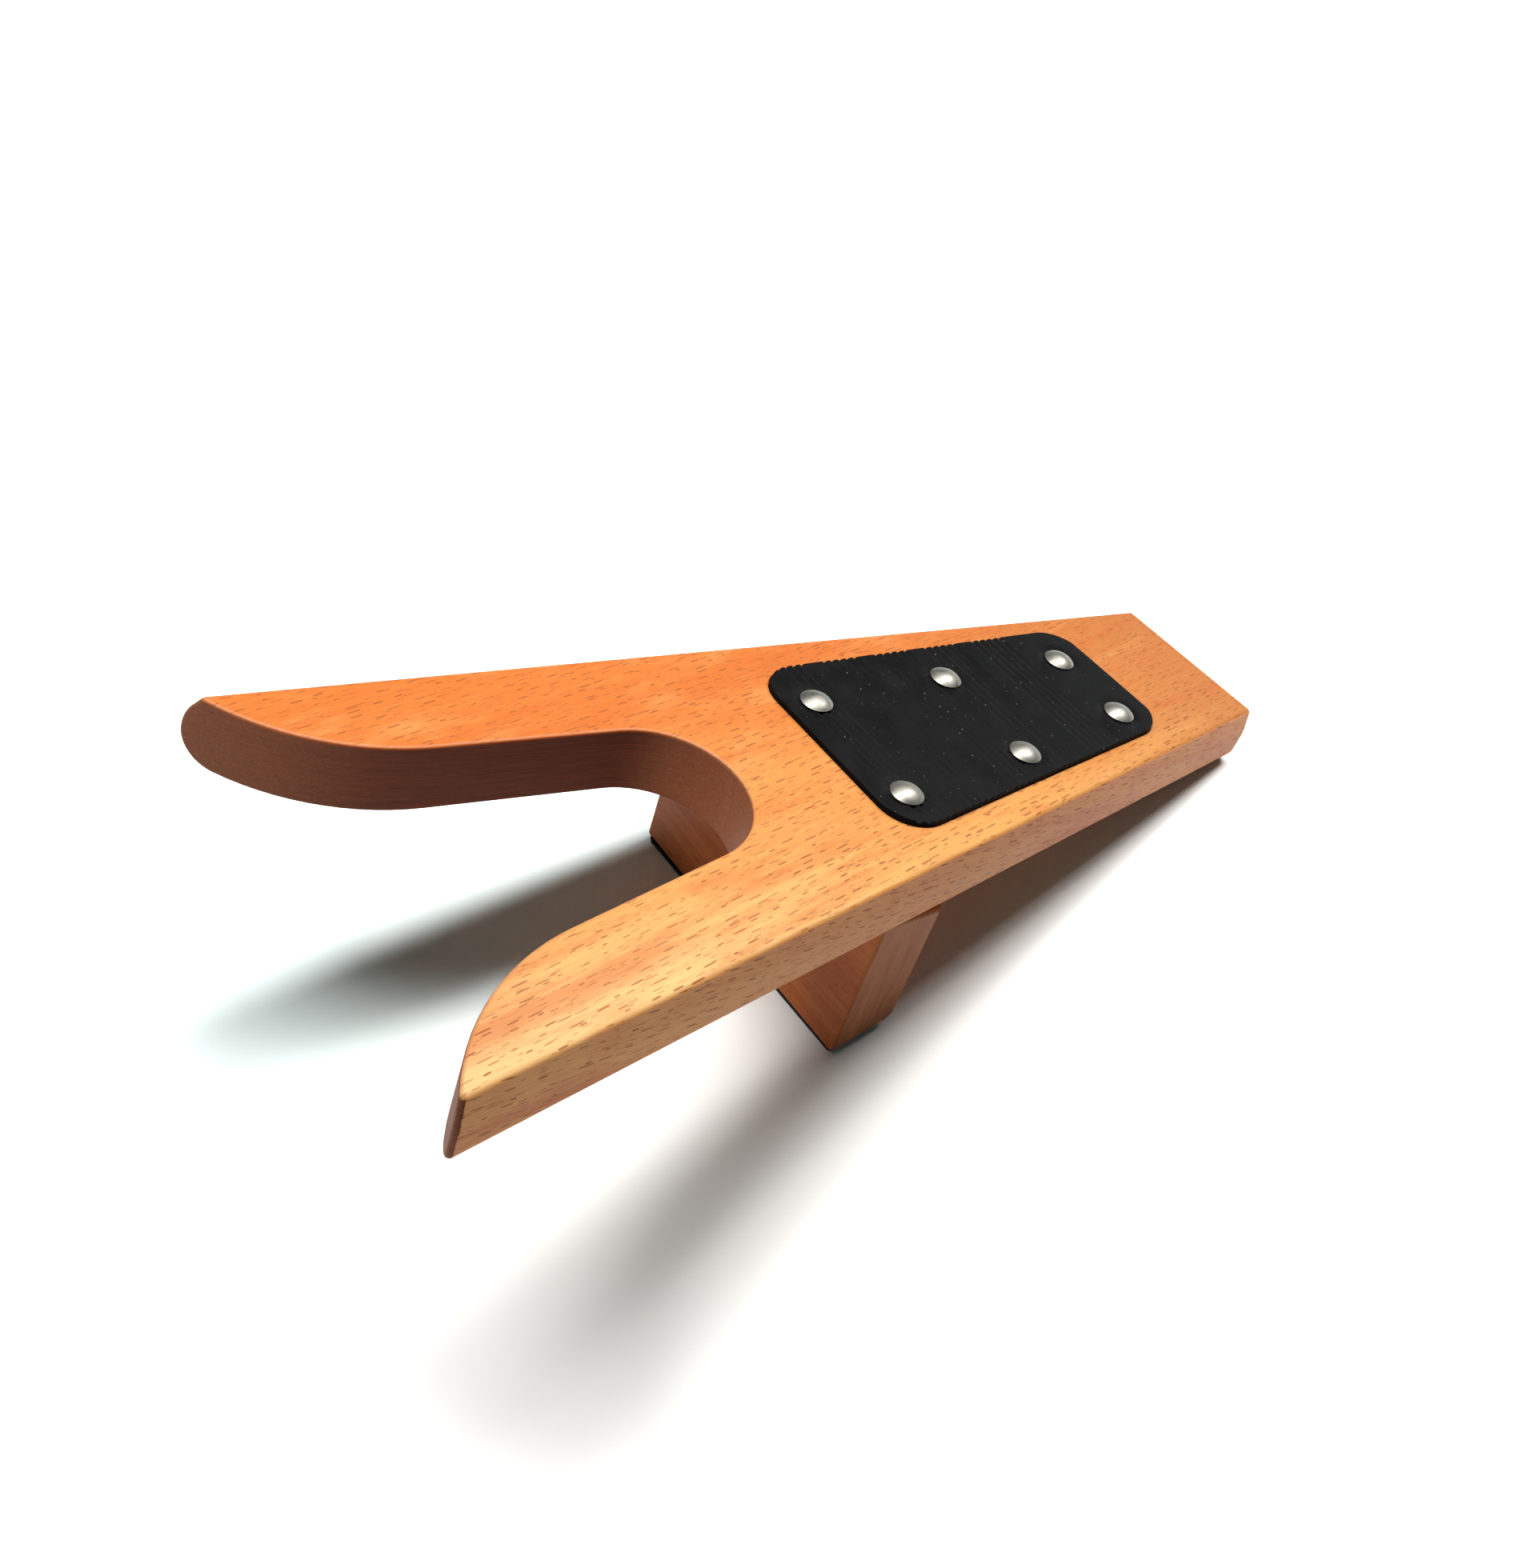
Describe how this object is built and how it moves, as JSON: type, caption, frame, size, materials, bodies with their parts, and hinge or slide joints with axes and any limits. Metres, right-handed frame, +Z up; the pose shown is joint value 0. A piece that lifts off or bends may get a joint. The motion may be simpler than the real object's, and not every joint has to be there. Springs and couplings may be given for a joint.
{
  "type": "boot jack",
  "caption": "Tapered wooden boot jack with a U-shaped heel notch, cross block stand and a ribbed rubber tread held by domed nails.",
  "frame": {"origin": "centre of the footprint on the floor, under the middle of the bounding box", "axes": "+Z up from the floor; +Y along the board's length on the floor, from the heel notch to the tail; +X across the board, to the left of someone standing on the tread and facing the notch"},
  "size_m": [0.1377, 0.3118, 0.1159],
  "materials": {
    "board_wood": "satin",
    "block_wood": "matte",
    "tread_rubber": "satin",
    "foot_rubber": "matte",
    "nail_nickel": "polished",
    "screw_zinc": "satin"
  },
  "bodies": {
    "root": {"board": "board_wood", "support_block": "block_wood", "foot_strip": "foot_rubber", "tread_pad": "tread_rubber", "tread_nail_1": "nail_nickel", "tread_nail_2": "nail_nickel", "tread_nail_3": "nail_nickel", "tread_nail_4": "nail_nickel", "tread_nail_5": "nail_nickel", "tread_nail_6": "nail_nickel", "block_screw_1": "screw_zinc", "block_screw_2": "screw_zinc"}
  },
  "joints": []
}
